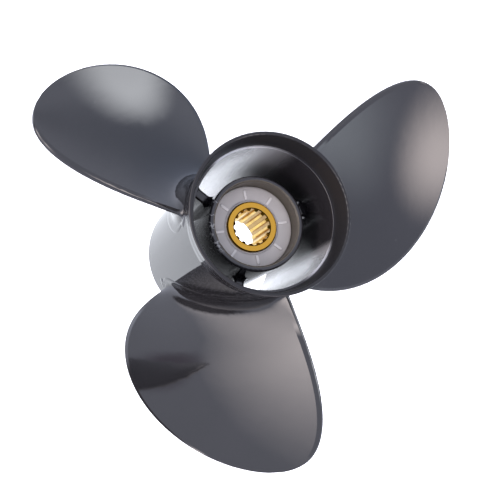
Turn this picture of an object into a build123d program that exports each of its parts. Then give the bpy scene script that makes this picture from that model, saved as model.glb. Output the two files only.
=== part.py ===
from build123d import *
import math
import os

# Three-blade outboard propeller with through-hub exhaust, in millimetres and degrees.
# The shaft axis is Z, aft is +Z, and Z = 0 is the plane of the barrel's front rim.
# The first blade points along +Y. Seen from aft it turns clockwise to drive the boat forward.

# Blades
blade_count = 3
tip_radius = 165.1              # 13 inch diameter
pitch = 488.7                   # axial advance of the blade face in one turn, 19 1/4 inch
rake_angle = 17.3               # the blades lean aft
rake_bow = 6.3                  # how much the rake eases off toward the tip
datum_fraction = 0.65           # radius, as a part of the tip radius, where the blade is laid out
datum_height = 97.0             # height of the blade face on the blade's own axis, at the datum
blade_root_thickness = 11.0     # in the middle of the chord
blade_tip_thickness = 3.2
trailing_thickness = 3.8
leading_thickness = 2.2
edge_bulge = 0.7                # how far the rounded edges stand out past the face
face_fillet = 13.0              # root fillet on the face and the back
edge_fillet = 4.5               # root fillet round the leading and trailing edges
fillet_end_angle = 78.0         # each root fillet meets the barrel this far round its arc

# Barrel, the outer hub
hub_length = 164.0
barrel_radius = 50.2
front_round = 1.6
flare_start = 138.0             # height where the aft flare begins
flare_blend = 20.0
ring_radius = 54.8
ring_edge_round = 1.0
ring_mouth_radius = 52.0
ledge_height = 147.2            # ledge inside the aft ring
ledge_outer_radius = 49.3
ledge_inner_radius = 47.9
throat_radius = 45.0            # exhaust wall at its narrow end
register_depth = 42.0           # machined counterbore in the front of the barrel
register_radius = 46.3
socket_radius = 48.7            # blades and ribs end here, inside the barrel's wall

# Inner hub and ribs
inner_hub_radius = 33.0
inner_hub_aft = 129.3
inner_hub_front = 24.0
inner_hub_round = 1.6
bush_bore_radius = 29.1
bore_chamfer = 0.7
rib_offset = 6.0                # the ribs stand this far round from the blades' axes
rib_aft = 100.0
rib_front = 45.0
rib_thickness = 7.0
rib_edge_round = 2.0
rib_fillet = 4.0

# Rubber bush
bush_clearance = 0.05
bush_aft = 114.7
bush_front = 66.0
bush_edge_round = 0.8
bush_lip_height = 0.5           # thin raised lip round the sleeve
bush_lip_width = 0.8
mark_count = 8
mark_phase = 9.0
mark_inner = 19.5
mark_outer = 26.0
mark_width = 1.9
mark_height = 0.8

# Splined sleeve
sleeve_radius = 17.7
sleeve_aft = 117.5
sleeve_front = 62.0
sleeve_chamfer = 0.9
spline_teeth = 15
spline_phase = 4.0              # angle of the middle of one tooth
spline_major_radius = 12.75
spline_minor_radius = 11.4
spline_mouth_radius = 13.4      # outer edge of the entry chamfer
spline_length = 41.5
spline_flank_angle = 30.0
pilot_radius = 13.0             # plain bore between the spline and the tapered seat
pilot_length = 4.0
seat_radius = 17.0              # wide end of the tapered seat in the front of the sleeve


def polar(radius, angle, height=0.0):
    """Point at a radius and an angle in degrees about the shaft axis."""
    turn = math.radians(angle)
    return Vector(radius * math.cos(turn), radius * math.sin(turn), height)


def turned(*points):
    """Solid of revolution about the shaft axis from (radius, height) points."""
    return revolve(make_face(Polyline([(r, 0, z) for r, z in points], close=True)), Axis.Z)


def rim(solid, radius, height):
    """The circular edges of a turned solid at a radius and a height."""
    return [
        edge
        for edge in solid.edges().filter_by(GeomType.CIRCLE)
        if abs(edge.radius - radius) < 0.01 and abs(edge.center().Z - height) < 0.01
    ]


# ---------------------------------------------------------------- blades

def mid_chord_angle(fraction):
    """Angle of the mid-chord line from the blade's axis: it sweeps back toward the tip."""
    x = fraction - datum_fraction
    return 24.9 * x + 56.5 * x**2 + 13.3 * x**3


def half_chord_angle(fraction):
    """Half of the angle that the blade spans: it closes in a round tip."""
    x = fraction - datum_fraction
    return math.sqrt(1 - fraction) * (54.2 + 14.35 * x - 50.0 * x**2 - 58.9 * x**3)


def fillet_reach(radius, rise):
    """How far a root fillet stands out from the blade at a rise above the barrel.

    The arc stops short of its tangent point and runs on straight into the wall.
    """
    end = math.radians(fillet_end_angle)
    low = radius * (1 - math.sin(end))
    drop = radius - max(rise, low)
    arc = radius - math.sqrt(radius**2 - max(0.0, drop)**2)
    return arc + max(0.0, low - rise) * math.tan(end)


def root_growth(rise, chord):
    """Growth of the section's sides at the root: wide fillets that tighten at the two edges."""
    wide = fillet_reach(face_fillet, rise)
    tight = fillet_reach(edge_fillet, rise)
    return wide + (tight - wide) * abs(chord)**6


def blade_thickness(radius, chord):
    """Thickness at a place along the chord: -1 is the leading edge, +1 the trailing edge."""
    span = max(0.0, radius - barrel_radius) / (tip_radius - barrel_radius)
    middle = blade_root_thickness + (blade_tip_thickness - blade_root_thickness) * span**0.8
    mean_edge = (leading_thickness + trailing_thickness) / 2
    edge = mean_edge + (trailing_thickness - leading_thickness) / 2 * chord
    return edge + (middle - mean_edge) * (1 - chord**2)


def blade_point(radius, chord, depth, reach=0.0):
    """Point of a blade section: depth goes forward from the face, reach goes past an edge."""
    fraction = radius / tip_radius
    slope = math.atan(pitch / (2 * math.pi * radius))
    angle = mid_chord_angle(fraction) + half_chord_angle(fraction) * chord
    angle += math.degrees(reach * math.cos(slope) / radius)
    lean = (radius - datum_fraction * tip_radius) * math.tan(math.radians(rake_angle))
    bow = rake_bow * (fraction - datum_fraction)**2
    height = datum_height + lean - bow + pitch * angle / 360
    angle += math.degrees(depth * math.sin(slope) / radius)
    return polar(radius, 90 + angle, height - depth * math.cos(slope))


def blade_section(radius):
    """Closed outline of the blade where a cylinder about the shaft cuts it."""
    rise = radius - barrel_radius
    stations = (-1, -0.9, -0.75, -0.4, 0, 0.4, 0.75, 0.9, 1)
    face = []
    back = []
    for chord in stations:
        grow = root_growth(rise, chord)
        face.append(blade_point(radius, chord, -grow))
        back.append(blade_point(radius, chord, blade_thickness(radius, chord) + grow))
    reach = edge_bulge + fillet_reach(edge_fillet, rise)
    trailing = blade_point(radius, 1, trailing_thickness / 2, reach)
    leading = blade_point(radius, -1, leading_thickness / 2, -reach)
    return Wire([
        Edge.make_spline(face, parameters=stations),
        Edge.make_three_point_arc(face[-1], trailing, back[-1]),
        Edge.make_spline(back[::-1], parameters=stations),
        Edge.make_three_point_arc(back[0], leading, face[0]),
    ])


def flat_section(radius, angle, distance):
    """A blade section pressed flat, square to the direction at an angle from the blade's axis."""
    outward = polar(1, 90 + angle)
    edges = []
    for edge in blade_section(radius).edges():
        steps = [edge.position_at(i / 8) for i in range(9)]
        edges.append(Edge.make_spline([p + outward * (distance - p.dot(outward)) for p in steps]))
    return Wire(edges)


def make_blade():
    """One blade, its root ending inside the barrel's wall."""
    root_rises = [-1.2, 0.3, 1.6, 3.6, 7.0, face_fillet]
    root_radii = [barrel_radius + rise for rise in root_rises]
    steps = [0.88, 0.76, 0.64, 0.52, 0.4, 0.28, 0.18, 0.1]
    span_radii = [tip_radius - (tip_radius - root_radii[-1]) * step**2 for step in steps]
    tip = tip_radius * 0.9994
    sections = [flat_section(root_radii[0], 0, 0.55 * barrel_radius)]
    sections += [blade_section(radius) for radius in root_radii + span_radii]
    sections.append(flat_section(tip, mid_chord_angle(1), tip))
    return Solid.make_loft(sections) - Cylinder(socket_radius, 4 * hub_length)


# ---------------------------------------------------------------- hub

def make_barrel():
    """Outer hub with its aft ring, inner ledge and front register."""
    wall = turned(
        (register_radius, 0),
        (barrel_radius, 0),
        (barrel_radius, flare_start),
        (ring_radius, hub_length),
        (ring_mouth_radius, hub_length),
        (ledge_outer_radius, ledge_height),
        (ledge_inner_radius, ledge_height),
        (throat_radius, register_depth),
        (register_radius, register_depth),
    )
    wall = fillet(rim(wall, barrel_radius, flare_start), flare_blend)
    wall = fillet(rim(wall, ring_radius, hub_length), ring_edge_round)
    wall = fillet(rim(wall, ring_mouth_radius, hub_length), ring_edge_round)
    wall = fillet(rim(wall, ledge_inner_radius, ledge_height), 0.4)
    return fillet(rim(wall, barrel_radius, 0), front_round)


def make_inner_hub():
    """Tube that holds the rubber bush."""
    tube = turned(
        (bush_bore_radius, inner_hub_front),
        (inner_hub_radius, inner_hub_front),
        (inner_hub_radius, inner_hub_aft),
        (bush_bore_radius, inner_hub_aft),
    )
    tube = fillet(rim(tube, inner_hub_radius, inner_hub_aft), inner_hub_round)
    tube = fillet(rim(tube, inner_hub_radius, inner_hub_front), inner_hub_round)
    return chamfer(rim(tube, bush_bore_radius, inner_hub_aft), bore_chamfer)


def make_rib(angle):
    """Flat rib with rounded ends, reaching into the inner hub's and the barrel's walls."""
    inner = (bush_bore_radius + inner_hub_radius) / 2
    size = (socket_radius - inner, rib_thickness, rib_aft - rib_front)
    bar = Box(*size, align=(Align.MIN, Align.CENTER, Align.MIN))
    bar = fillet(bar.edges().filter_by(Axis.X), rib_edge_round)
    return Rot(0, 0, angle) * Pos(inner, 0, rib_front) * bar


def make_hub(angles):
    """Barrel and inner hub joined by ribs, with a fillet down each side of every rib."""
    hub = make_barrel() + make_inner_hub() + [make_rib(angle) for angle in angles]
    straight = rib_aft - rib_front - 2 * rib_edge_round
    joints = [edge for edge in hub.edges() if abs(edge.bounding_box().size.Z - straight) < 0.5]
    return fillet(joints, rib_fillet)


def make_casting():
    """The one-piece casting: barrel, inner hub, ribs and blades."""
    spacing = 360 / blade_count
    angles = [90 + i * spacing for i in range(blade_count)]
    blade = make_blade()
    hub = make_hub([angle + rib_offset for angle in angles])
    return hub + [Rot(0, 0, angle - 90) * blade for angle in angles]


# ---------------------------------------------------------------- bush and sleeve

def make_mark(angle):
    """Small raised oblong moulded on the bush's aft face."""
    length = mark_outer - mark_inner
    bar = extrude(SlotOverall(length, mark_width), mark_height + 1)
    bar = fillet(bar.edges().group_by(Axis.Z)[-1], 0.35)
    return Rot(0, 0, angle) * Pos((mark_inner + mark_outer) / 2, 0, bush_aft - 1) * bar


def make_bush():
    """Rubber drive bush, bonded to the sleeve and free to slip in the inner hub."""
    radius = bush_bore_radius - bush_clearance
    lip = sleeve_radius + bush_lip_width
    ring = turned(
        (sleeve_radius, bush_front),
        (radius, bush_front),
        (radius, bush_aft),
        (lip + bush_lip_height, bush_aft),
        (lip, bush_aft + bush_lip_height),
        (sleeve_radius, bush_aft + bush_lip_height),
    )
    ring = fillet(rim(ring, radius, bush_aft) + rim(ring, radius, bush_front), bush_edge_round)
    return ring + [make_mark(mark_phase + i * 360 / mark_count) for i in range(mark_count)]


def spline_bore():
    """Outline of the splined bore: a round hole with teeth standing in from its wall."""
    depth = spline_major_radius - spline_minor_radius
    middle = (spline_major_radius + spline_minor_radius) / 2
    half = math.pi * middle / spline_teeth / 2
    spread = depth / 2 * math.tan(math.radians(spline_flank_angle))
    tooth = make_face(Polyline(
        (spline_minor_radius, half - spread),
        (spline_major_radius + depth, half + 3 * spread),
        (spline_major_radius + depth, -half - 3 * spread),
        (spline_minor_radius, spread - half),
        close=True,
    ))
    teeth = [Rot(0, 0, spline_phase + i * 360 / spline_teeth) * tooth for i in range(spline_teeth)]
    return Circle(spline_major_radius) - teeth


def make_sleeve():
    """Brass sleeve with the propeller shaft's spline and a tapered seat at the front."""
    spline_front = sleeve_aft - spline_length
    body = turned(
        (0, sleeve_front),
        (sleeve_radius, sleeve_front),
        (sleeve_radius, sleeve_aft),
        (0, sleeve_aft),
    )
    body = chamfer(rim(body, sleeve_radius, sleeve_aft), sleeve_chamfer)
    splined = Pos(0, 0, spline_front - 1) * extrude(spline_bore(), spline_length + 2)
    seat = turned(
        (0, sleeve_front),
        (seat_radius, sleeve_front),
        (pilot_radius, spline_front - pilot_length),
        (pilot_radius, spline_front),
        (0, spline_front),
    )
    mouth_depth = spline_mouth_radius - spline_minor_radius
    mouth = turned(
        (0, sleeve_aft - mouth_depth),
        (spline_minor_radius, sleeve_aft - mouth_depth),
        (spline_mouth_radius, sleeve_aft),
        (0, sleeve_aft),
    )
    return body - splined - seat - mouth


os.makedirs("parts", exist_ok=True)
export_step(make_casting(), "parts/propeller_casting.step")
export_step(make_bush(), "parts/rubber_bush.step")
export_step(make_sleeve(), "parts/splined_sleeve.step")
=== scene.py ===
import math
from collections import namedtuple
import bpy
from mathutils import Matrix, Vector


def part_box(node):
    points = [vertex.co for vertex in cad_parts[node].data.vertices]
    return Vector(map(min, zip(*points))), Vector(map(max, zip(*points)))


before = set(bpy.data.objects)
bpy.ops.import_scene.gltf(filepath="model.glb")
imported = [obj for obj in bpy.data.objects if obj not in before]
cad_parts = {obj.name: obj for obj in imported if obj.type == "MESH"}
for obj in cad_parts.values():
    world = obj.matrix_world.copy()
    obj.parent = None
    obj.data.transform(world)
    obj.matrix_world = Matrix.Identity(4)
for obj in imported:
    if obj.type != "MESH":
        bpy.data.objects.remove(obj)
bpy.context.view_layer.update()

from types import SimpleNamespace

import bpy
from mathutils import Matrix, Vector

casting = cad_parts["propeller_casting"]
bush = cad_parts["rubber_bush"]
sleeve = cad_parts["splined_sleeve"]

# Sizes of the hub, from the frame
HUB_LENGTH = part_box("propeller_casting")[1].z
BUSH_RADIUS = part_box("rubber_bush")[1].x
MARK_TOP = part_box("rubber_bush")[1].z       # top of the raised marks
SLEEVE_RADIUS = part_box("splined_sleeve")[1].x
SLEEVE_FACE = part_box("splined_sleeve")[1].z

# Where the casting's finish changes
LEDGE = HUB_LENGTH - 0.0168                 # ledge inside the aft ring
RING_START = LEDGE + 0.0003                 # the ring is duller from just above the ledge
RING_RADIUS = 0.0526                        # and inside this radius
RIM_START = HUB_LENGTH - 0.0025             # start of the ring's rounded rim
RIM_FULL = RIM_START + 0.0010
REGISTER_TOP = 0.0420                       # the duct is as cast above its front register
DUCT_RADIUS = 0.0492                        # below the ledge, all inside this is the duct
WALL_RADIUS = 0.0420                        # the duct's outer wall lies beyond this
TUBE_RADIUS = 0.0360                        # the inner hub lies inside this
BORE_RADIUS = BUSH_RADIUS + 0.00115         # the inner hub's bore lies inside this
BORE_FRONT = MARK_TOP - 0.0020              # the bore is bare above this
BLUR = 0.0004                               # width of a soft edge between two finishes

# Thin paint on the duct's wall and streaks on the inner hub, each between four azimuths: where it
# starts, is full, starts to fade and ends
THIN_PAINT = [(12, 68, 80, 94), (-106, -88, -80, -60)]
STREAKS = (98, 112, 166, 178)

# The blades' outline, for the bevel that the paint shows along their edges. The first blade
# points along +Y. The middle of the chord and half of the chord are angles about the shaft, and
# polynomials of x, which is the radius over the tip radius, less the datum. The factors start
# with x for the middle and with the constant for the half, which also closes at the tip.
TIP_RADIUS = 0.1651
BLADES = 3
FIRST_BLADE = 90.0
HELIX_LENGTH = 0.0778                       # rise of the blades in one radian of turn
DATUM = 0.65
MID_CHORD = (24.9, 56.5, 13.3)
HALF_CHORD = (54.2, 14.35, -50.0, -58.9)
BEVEL_WIDTH = 0.0030
BEVEL_SLOPE = 0.55                          # how far it drops over its width
BEVEL_ROOT = (0.068, 0.088)                 # radii where the bevel fades in
BEVEL_TIP = (0.90 * TIP_RADIUS, 0.96 * TIP_RADIUS)      # and where it fades out

# Where the bush and the sleeve change colour: the radii or heights where it starts and ends
# Painted shade: the outside of the rubber's face is darkened where it meets the bore wall.
SHADED_EDGE_BAND = (BUSH_RADIUS - 0.0025, BUSH_RADIUS)         # outside of the rubber's face
COLLAR = (SLEEVE_RADIUS + 0.0003, SLEEVE_RADIUS + 0.0023)
CREST = (MARK_TOP - 0.0005, MARK_TOP - 0.0001)
# Painted shade in the spline's grooves: the radii where it starts and ends
GROOVE = (0.0119, 0.0126)                               # the spline's grooves
END_FACE = (SLEEVE_FACE - 0.0004, SLEEVE_FACE - 0.0001)
RING_SPACING = 0.00032                                  # turning rings on the end face

# Colours
PAINT = (0.0095, 0.0095, 0.0105)
DUCT_PAINT = (0.016, 0.015, 0.017)
DUST = (0.22, 0.22, 0.22)
BORE_METAL = (0.095, 0.078, 0.050)
BARE_METAL = (0.72, 0.72, 0.74)
RUBBER_LIGHT = (0.375, 0.355, 0.340)
RUBBER_DARK = (0.270, 0.255, 0.242)
# Painted highlight on the tops of the bush's raised marks
RUBBER_CREST_HIGHLIGHT = (0.52, 0.50, 0.48)
BRASS_LIGHT = (0.90, 0.58, 0.075)
BRASS_DARK = (0.60, 0.34, 0.025)
# Painted shade: a darker brass for the sleeve's end face
BRASS_FACE_SHADED = (0.41, 0.225, 0.032)
# Painted shade: a darker brass for the spline's grooves
BRASS_GROOVE_SHADE = (0.30, 0.15, 0.010)


class Graph:
    """Short names for building a shader's nodes."""

    def __init__(self, tree):
        self.tree = tree

    def add(self, kind, **settings):
        node = self.tree.nodes.new(kind)
        for name, value in settings.items():
            setattr(node, name, value)
        return node

    def put(self, socket, value):
        if isinstance(value, bpy.types.NodeSocket):
            self.tree.links.new(value, socket)
        elif isinstance(value, tuple) and socket.type == "RGBA":
            socket.default_value = (*value, 1)
        else:
            socket.default_value = value

    # Arithmetic

    def math(self, operation, a, b=0.0):
        node = self.add("ShaderNodeMath", operation=operation)
        self.put(node.inputs[0], a)
        self.put(node.inputs[1], b)
        return node.outputs[0]

    def plus(self, a, b):
        return self.math("ADD", a, b)

    def minus(self, a, b):
        return self.math("SUBTRACT", a, b)

    def times(self, a, b):
        return self.math("MULTIPLY", a, b)

    def polynomial(self, x, factors):
        """The first factor, plus the second times x, plus the third times x squared, and on."""
        total = factors[-1]
        for factor in reversed(factors[:-1]):
            total = self.plus(self.times(total, x), factor)
        return total

    # Masks, which are 1 inside and 0 outside

    def above(self, value, limit):
        return self.math("GREATER_THAN", value, limit)

    def below(self, value, limit):
        return self.math("LESS_THAN", value, limit)

    def window(self, value, start, full, fading, end):
        """Mask with a soft start and a soft end."""
        return self.times(self.step(value, start, full), self.step(value, fading, end, 1.0, 0.0))

    # Changes from one value to another

    def change(self, value, low, high, start, end, kind):
        node = self.add("ShaderNodeMapRange", interpolation_type=kind)
        self.put(node.inputs["Value"], value)
        self.put(node.inputs["From Min"], low)
        self.put(node.inputs["From Max"], high)
        self.put(node.inputs["To Min"], start)
        self.put(node.inputs["To Max"], end)
        return node.outputs[0]

    def step(self, value, low, high, start=0.0, end=1.0):
        """Smooth change from start to end while the value goes from low to high."""
        return self.change(value, low, high, start, end, "SMOOTHSTEP")

    def ramp(self, value, low, high, start, end):
        """Straight change from start to end, held outside the range."""
        return self.change(value, low, high, start, end, "LINEAR")

    def mix(self, share, a, b):
        """Colour a where the share is 0, and colour b where it is 1."""
        node = self.add("ShaderNodeMix", data_type="RGBA")
        self.put(node.inputs["Factor"], share)
        self.put(node.inputs[6], a)
        self.put(node.inputs[7], b)
        return node.outputs[2]

    # Patterns

    def noise(self, coords, scale, detail=2.0, rough=0.5):
        node = self.add("ShaderNodeTexNoise")
        self.put(node.inputs["Vector"], coords)
        self.put(node.inputs["Scale"], scale)
        self.put(node.inputs["Detail"], detail)
        self.put(node.inputs["Roughness"], rough)
        return node.outputs["Fac"]

    def spots(self, coords, scale, size, share):
        """Small round spots in some of the cells of a Voronoi pattern."""
        node = self.add("ShaderNodeTexVoronoi")
        self.put(node.inputs["Vector"], coords)
        self.put(node.inputs["Scale"], scale)
        chance = self.add("ShaderNodeSeparateColor")
        self.put(chance.inputs[0], node.outputs["Color"])
        near = self.step(node.outputs["Distance"], size * 0.5, size, 1.0, 0.0)
        return self.times(near, self.below(chance.outputs[0], share))

    def bump(self, height, strength, distance, normal=None):
        node = self.add("ShaderNodeBump")
        self.put(node.inputs["Height"], height)
        self.put(node.inputs["Strength"], strength)
        self.put(node.inputs["Distance"], distance)
        if normal is not None:
            self.put(node.inputs["Normal"], normal)
        return node.outputs[0]

    # Places

    def part(self, coords, axis):
        """One of the three coordinates: 0 is x, 1 is y and 2 is z."""
        node = self.add("ShaderNodeSeparateXYZ")
        self.put(node.inputs[0], coords)
        return node.outputs[axis]

    def scaled(self, coords, scale):
        node = self.add("ShaderNodeVectorMath", operation="MULTIPLY")
        self.put(node.inputs[0], coords)
        self.put(node.inputs[1], scale)
        return node.outputs[0]

    def along(self, coords, axis):
        """How far the coordinates reach in the direction of an axis."""
        node = self.add("ShaderNodeVectorMath", operation="DOT_PRODUCT")
        self.put(node.inputs[0], coords)
        self.put(node.inputs[1], tuple(axis))
        return node.outputs["Value"]

    def azimuth(self, coords):
        turn = self.math("ARCTAN2", self.part(coords, 1), self.part(coords, 0))
        return self.math("DEGREES", turn)

    def place(self):
        """Object coordinates, the distance from the shaft axis, and the height."""
        coords = self.add("ShaderNodeTexCoord").outputs["Object"]
        length = self.add("ShaderNodeVectorMath", operation="LENGTH")
        self.put(length.inputs[0], self.scaled(coords, (1, 1, 0)))
        return coords, length.outputs["Value"], self.part(coords, 2)


def shader(name, **values):
    """New material: its graph and its Principled shader."""
    material = bpy.data.materials.new(name)
    material.use_nodes = True
    principled = material.node_tree.nodes["Principled BSDF"]
    graph = Graph(material.node_tree)
    for socket, value in values.items():
        graph.put(principled.inputs[socket.replace("_", " ")], value)
    return material, graph, principled


def dress(obj, material):
    obj.data.materials.clear()
    obj.data.materials.append(material)


# ---------------------------------------------------------------- casting

def edge_distance(g, azimuth, radius):
    """Distance along the chord from the nearer edge of the blade, 0 beyond the edge."""
    fraction = g.math("DIVIDE", radius, TIP_RADIUS)
    x = g.minus(fraction, DATUM)
    middle = g.times(x, g.polynomial(x, MID_CHORD))
    closing = g.math("SQRT", g.math("MAXIMUM", g.minus(1.0, fraction), 0.0))
    half = g.times(g.polynomial(x, HALF_CHORD), closing)
    # Turn from the axis of the nearest blade
    sector = 360.0 / BLADES
    turn = g.minus(azimuth, FIRST_BLADE - sector / 2)
    turn = g.minus(g.math("FLOORED_MODULO", turn, sector), sector / 2)
    gap = g.minus(half, g.math("ABSOLUTE", g.minus(turn, middle)))
    # Length along the helix for a radian of turn
    arm = g.math("SQRT", g.plus(g.times(radius, radius), HELIX_LENGTH**2))
    return g.math("MAXIMUM", g.times(g.math("RADIANS", gap), arm), 0.0)


def edge_bevel(g, azimuth, radius):
    """Normal that tips over along the edges of the blades."""
    on_blade = g.window(radius, *BEVEL_ROOT, *BEVEL_TIP)
    drop = g.minus(BEVEL_WIDTH, edge_distance(g, azimuth, radius))
    drop = g.times(g.math("MAXIMUM", drop, 0.0), on_blade)
    return g.bump(g.times(drop, -BEVEL_SLOPE), strength=1.0, distance=1.0)


def casting_regions(g, azimuth, radius, height):
    """Masks for the differently finished parts of the casting."""
    below_ledge = g.step(height, LEDGE - BLUR / 2, LEDGE + BLUR / 2, 1.0, 0.0)
    duct = g.times(below_ledge, g.below(radius, DUCT_RADIUS))
    wall = g.times(duct, g.above(radius, WALL_RADIUS))
    tube = g.times(duct, g.below(radius, TUBE_RADIUS))
    thin = 0.0
    for patch in THIN_PAINT:
        thin = g.plus(thin, g.window(azimuth, *patch))
    inside_ring = g.step(radius, RING_RADIUS - BLUR, RING_RADIUS, 1.0, 0.0)
    return SimpleNamespace(
        duct=duct,
        rough_cast=g.times(duct, g.above(height, REGISTER_TOP)),
        thin=g.times(thin, wall),
        streaked=g.times(g.window(azimuth, *STREAKS), tube),
        bore=g.times(g.below(radius, BORE_RADIUS), g.above(height, BORE_FRONT)),
        ring=g.times(g.above(height, RING_START), inside_ring),
        rim=g.step(height, RIM_START, RIM_FULL),
    )


def casting_colour(g, coords, region, smudge, grain):
    """Black with faint smudges and dust, greyer in the duct, and metal where it is bare."""
    dust = g.times(g.spots(coords, scale=130.0, size=0.035, share=0.12), 0.6)
    colour = g.mix(g.ramp(smudge, 0.35, 0.65, 0.0, 0.25), PAINT, DUCT_PAINT)
    colour = g.mix(region.duct, g.mix(dust, colour, DUST), DUCT_PAINT)
    colour = g.mix(region.bore, colour, g.mix(grain, BORE_METAL, DUCT_PAINT))
    # Thin streaks run where a noise crosses its middle value.
    contour = g.math("ABSOLUTE", g.minus(g.noise(coords, scale=110.0, detail=3.0), 0.5))
    streak = g.times(g.step(contour, 0.006, 0.022, 0.9, 0.0), region.streaked)
    colour = g.mix(streak, colour, DUST)
    return g.mix(region.thin, colour, BARE_METAL)


def casting_paint():
    """Gloss black paint outside, grainier in the exhaust duct, bare metal in the machined bore."""
    material, g, out = shader("casting_paint", IOR=1.5)
    coords, radius, height = g.place()
    azimuth = g.azimuth(coords)
    region = casting_regions(g, azimuth, radius, height)
    smudge = g.noise(coords, scale=18.0, detail=3.0)
    grain = g.noise(coords, scale=900.0, detail=3.0, rough=0.6)
    g.put(out.inputs["Base Color"], casting_colour(g, coords, region, smudge, grain))
    g.put(out.inputs["Metallic"], g.times(region.thin, 0.85))

    rough = g.ramp(smudge, 0.3, 0.7, 0.04, 0.07)
    rougher = ((region.rough_cast, 0.05), (region.ring, 0.25), (region.bore, 0.30), (region.thin, 0.02))
    for mask, extra in rougher:
        rough = g.plus(rough, g.times(mask, extra))
    g.put(out.inputs["Roughness"], rough)
    dull = g.math("MAXIMUM", g.times(region.ring, 0.42), g.times(region.rim, 0.25))
    g.put(out.inputs["Specular IOR Level"], g.minus(0.5, dull))

    # Bevelled edges, then the paint's orange peel, then the grain of the cast surface
    bevel = edge_bevel(g, azimuth, radius)
    ripple = g.noise(coords, scale=420.0)
    peel = g.bump(ripple, strength=0.04, distance=0.0002, normal=bevel)
    depth = g.plus(g.times(region.rough_cast, 0.10), g.times(region.thin, 0.30))
    g.put(out.inputs["Normal"], g.bump(grain, strength=depth, distance=0.0004, normal=peel))
    return material


dress(casting, casting_paint())

# ---------------------------------------------------------------- bush

def moulded_rubber():
    """Cloudy grey moulded rubber with a fine grain, a painted highlight on top of the raised marks and
    painted shade around the outside of its face.
    """
    material, g, out = shader("moulded_rubber", IOR=1.45)
    coords, radius, height = g.place()
    cloud = g.noise(coords, scale=60.0, detail=4.0, rough=0.6)
    # Painted shade darkens the rubber's face towards the bore wall. The cloud is the rubber's own
    # uneven tone.
    edge_shade = g.step(radius, *SHADED_EDGE_BAND, 0.0, 0.6)
    collar = g.step(radius, *COLLAR, 0.5, 0.0)
    shade = g.plus(g.ramp(cloud, 0.35, 0.65, 0.0, 0.35), g.plus(edge_shade, collar))
    colour = g.mix(shade, RUBBER_LIGHT, RUBBER_DARK)
    # Painted highlight: the tops of the raised marks are given a paler rubber colour.
    g.put(out.inputs["Base Color"], g.mix(g.step(height, *CREST), colour, RUBBER_CREST_HIGHLIGHT))
    g.put(out.inputs["Roughness"], g.ramp(cloud, 0.3, 0.7, 0.48, 0.62))
    grain = g.noise(coords, scale=1600.0, detail=3.0, rough=0.6)
    g.put(out.inputs["Normal"], g.bump(grain, strength=0.25, distance=0.0002))
    return material


dress(bush, moulded_rubber())

# ---------------------------------------------------------------- sleeve

def turned_brass():
    """Machined brass: turning rings on the end faces, broaching lines along the spline, and painted
    shade on the end face and in the spline's grooves.
    """
    material, g, out = shader("turned_brass", Metallic=1.0)
    coords, radius, height = g.place()
    tarnish = g.noise(coords, scale=110.0, detail=4.0, rough=0.6)
    colour = g.mix(g.ramp(tarnish, 0.35, 0.7, 0.0, 1.0), BRASS_LIGHT, BRASS_DARK)
    # Painted shade: the brass is darkened in the spline's grooves.
    colour = g.mix(g.step(radius, *GROOVE, 0.0, 0.75), colour, BRASS_GROOVE_SHADE)
    # Painted shade: the end face is coloured a darker brass than the spline.
    g.put(out.inputs["Base Color"], g.mix(g.step(height, *END_FACE), colour, BRASS_FACE_SHADED))
    g.put(out.inputs["Roughness"], g.ramp(tarnish, 0.3, 0.7, 0.13, 0.22))

    rings = g.math("SINE", g.times(radius, 2 * math.pi / RING_SPACING))
    wobble = g.noise(coords, scale=700.0)
    turned = g.bump(g.plus(rings, wobble), strength=0.12, distance=0.00004)
    # The noise is drawn out along the shaft into lines.
    lines = g.noise(g.scaled(coords, (1, 1, 0.03)), scale=1500.0)
    g.put(out.inputs["Normal"], g.bump(lines, strength=0.25, distance=0.00008, normal=turned))
    return material


dress(sleeve, turned_brass())

# ---------------------------------------------------------------- studio

FLOOR_SIZE = 20.0
FLOOR_HEIGHT = -0.5
FLOOR_GLOW = 0.45
PAPER = (0.85, 0.85, 0.86)
BACKDROP = (0.93, 0.94, 0.95)

# The sky is an even light with soft ellipses laid over it in turn, lights and dark panels alike.
# Width and height are half sizes. The fade says at which part of its size an ellipse starts to
# fade, and one with a fade of 0 falls off all the way from its middle.
Panel = namedtuple("Panel", "azimuth elevation width height tilt fade light")
EVEN_LIGHT = (1.42, 1.48, 1.76)
FALL_OFF = 1.06
PANELS = [
    Panel(142, 28, 66, 36, 22, 0, (11.0, 10.0, 9.95)),              # wide main light
    Panel(-125, 30, 62, 48, 0, 0.60, (1.27, 1.32, 1.62)),           # dim side of the room
    Panel(-84, 10, 45, 25, -23, 0.08, (2.59, 2.78, 3.13)),          # weak cool light
    Panel(-112, 44, 15, 19, 69, 0.06, (9.90, 8.83, 8.74)),          # warm soft box
    Panel(-41, -64, 66, 118, -40, 0.31, (0.38, 0.43, 0.57)),        # shade below the object
    Panel(-20, 13, 14, 20, 17, 0.25, (6.99, 7.17, 7.56)),           # cool soft box
    Panel(135, -17, 40, 16, 0, 0.60, (0.02, 0.02, 0.02)),           # dark under the main light
    Panel(0, -90, 38, 38, 0, 0.60, (1.25, 1.30, 1.40)),             # pale table straight below
    Panel(70, 17, 16.5, 8, -17, 0.35, (0.51, 0.44, 0.59)),          # dark end of the main light
]


def direction(azimuth, elevation):
    az = math.radians(azimuth)
    el = math.radians(elevation)
    return Vector((math.cos(az) * math.cos(el), math.sin(az) * math.cos(el), math.sin(el)))


def sideways(azimuth, elevation, tilt):
    """Direction at a right angle to another, level at first and then tilted round it."""
    turn = Matrix.Rotation(math.radians(tilt), 3, direction(azimuth, elevation))
    return turn @ direction(azimuth + 90, 0)


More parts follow.
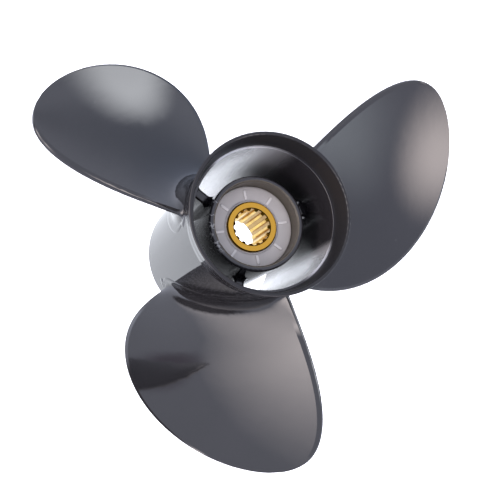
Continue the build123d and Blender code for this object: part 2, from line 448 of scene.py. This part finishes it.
def panel_share(g, ray, panel):
    """How much of a panel's light a ray sees: 1 in the middle and 0 outside."""
    centre = direction(panel.azimuth, panel.elevation)
    side = sideways(panel.azimuth, panel.elevation, panel.tilt)
    across = g.math("ARCTAN2", g.along(ray, side), g.along(ray, centre))
    upward = g.math("ARCSINE", g.along(ray, centre.cross(side)))
    across = g.math("DIVIDE", across, math.radians(panel.width))
    upward = g.math("DIVIDE", upward, math.radians(panel.height))
    far = g.math("SQRT", g.plus(g.times(across, across), g.times(upward, upward)))
    if panel.fade:
        return g.step(far, panel.fade, 1.0, 1.0, 0.0)
    return g.math("POWER", g.ramp(far, 0.0, 1.0, 1.0, 0.0), FALL_OFF)


def studio_sky():
    """World that lights the object with the panels, and shows the camera a plain backdrop."""
    world = bpy.data.worlds.new("studio")
    world.use_nodes = True
    g = Graph(world.node_tree)
    ray = g.add("ShaderNodeTexCoord").outputs["Generated"]
    light = EVEN_LIGHT
    for panel in PANELS:
        light = g.mix(panel_share(g, ray, panel), light, panel.light)
    to_camera = g.add("ShaderNodeLightPath").outputs["Is Camera Ray"]
    background = world.node_tree.nodes["Background"]
    g.put(background.inputs["Color"], g.mix(to_camera, light, BACKDROP))
    g.put(background.inputs["Strength"], 1.0)
    return world


def pale_floor():
    """Floor that glossy reflections leave out, so that the paint mirrors only the sky."""
    bpy.ops.mesh.primitive_plane_add(size=FLOOR_SIZE, location=(0, 0, FLOOR_HEIGHT))
    floor = bpy.context.object
    floor.name = "floor"
    paper, g, out = shader("paper", Base_Color=PAPER, Roughness=0.9)
    g.put(out.inputs["Emission Color"], (1.0, 1.0, 1.0))
    g.put(out.inputs["Emission Strength"], FLOOR_GLOW)
    dress(floor, paper)
    floor.visible_glossy = False
    return floor


pale_floor()
scene = bpy.context.scene
scene.world = studio_sky()
scene.view_settings.view_transform = "Standard"

# ---------------------------------------------------------------- camera

# The camera looks at a point near the middle of the hub, from this direction and distance.
CAMERA_TARGET = Vector((-0.00405, -0.01246, 0.09))
CAMERA_AZIMUTH = 166.5
CAMERA_ELEVATION = 71.4
CAMERA_ROLL = 57.5
CAMERA_DISTANCE = 0.7973
SENSOR_WIDTH = 36.0                         # this and the focal length are in millimetres
FOCAL_LENGTH = 81.33
HALF_PIXEL = 0.5 / 500                      # of the image's width


def photo_camera():
    lens = bpy.data.cameras.new("camera")
    lens.sensor_width = SENSOR_WIDTH
    lens.lens = FOCAL_LENGTH
    lens.shift_x = -HALF_PIXEL
    lens.shift_y = HALF_PIXEL
    lens.clip_start = 0.01
    back = direction(CAMERA_AZIMUTH, CAMERA_ELEVATION)
    right = sideways(CAMERA_AZIMUTH, CAMERA_ELEVATION, CAMERA_ROLL)
    pose = Matrix((right, back.cross(right), back)).transposed().to_4x4()
    pose.translation = CAMERA_TARGET + CAMERA_DISTANCE * back
    camera = bpy.data.objects.new("camera", lens)
    camera.matrix_world = pose
    return camera


scene.camera = photo_camera()
scene.collection.objects.link(scene.camera)
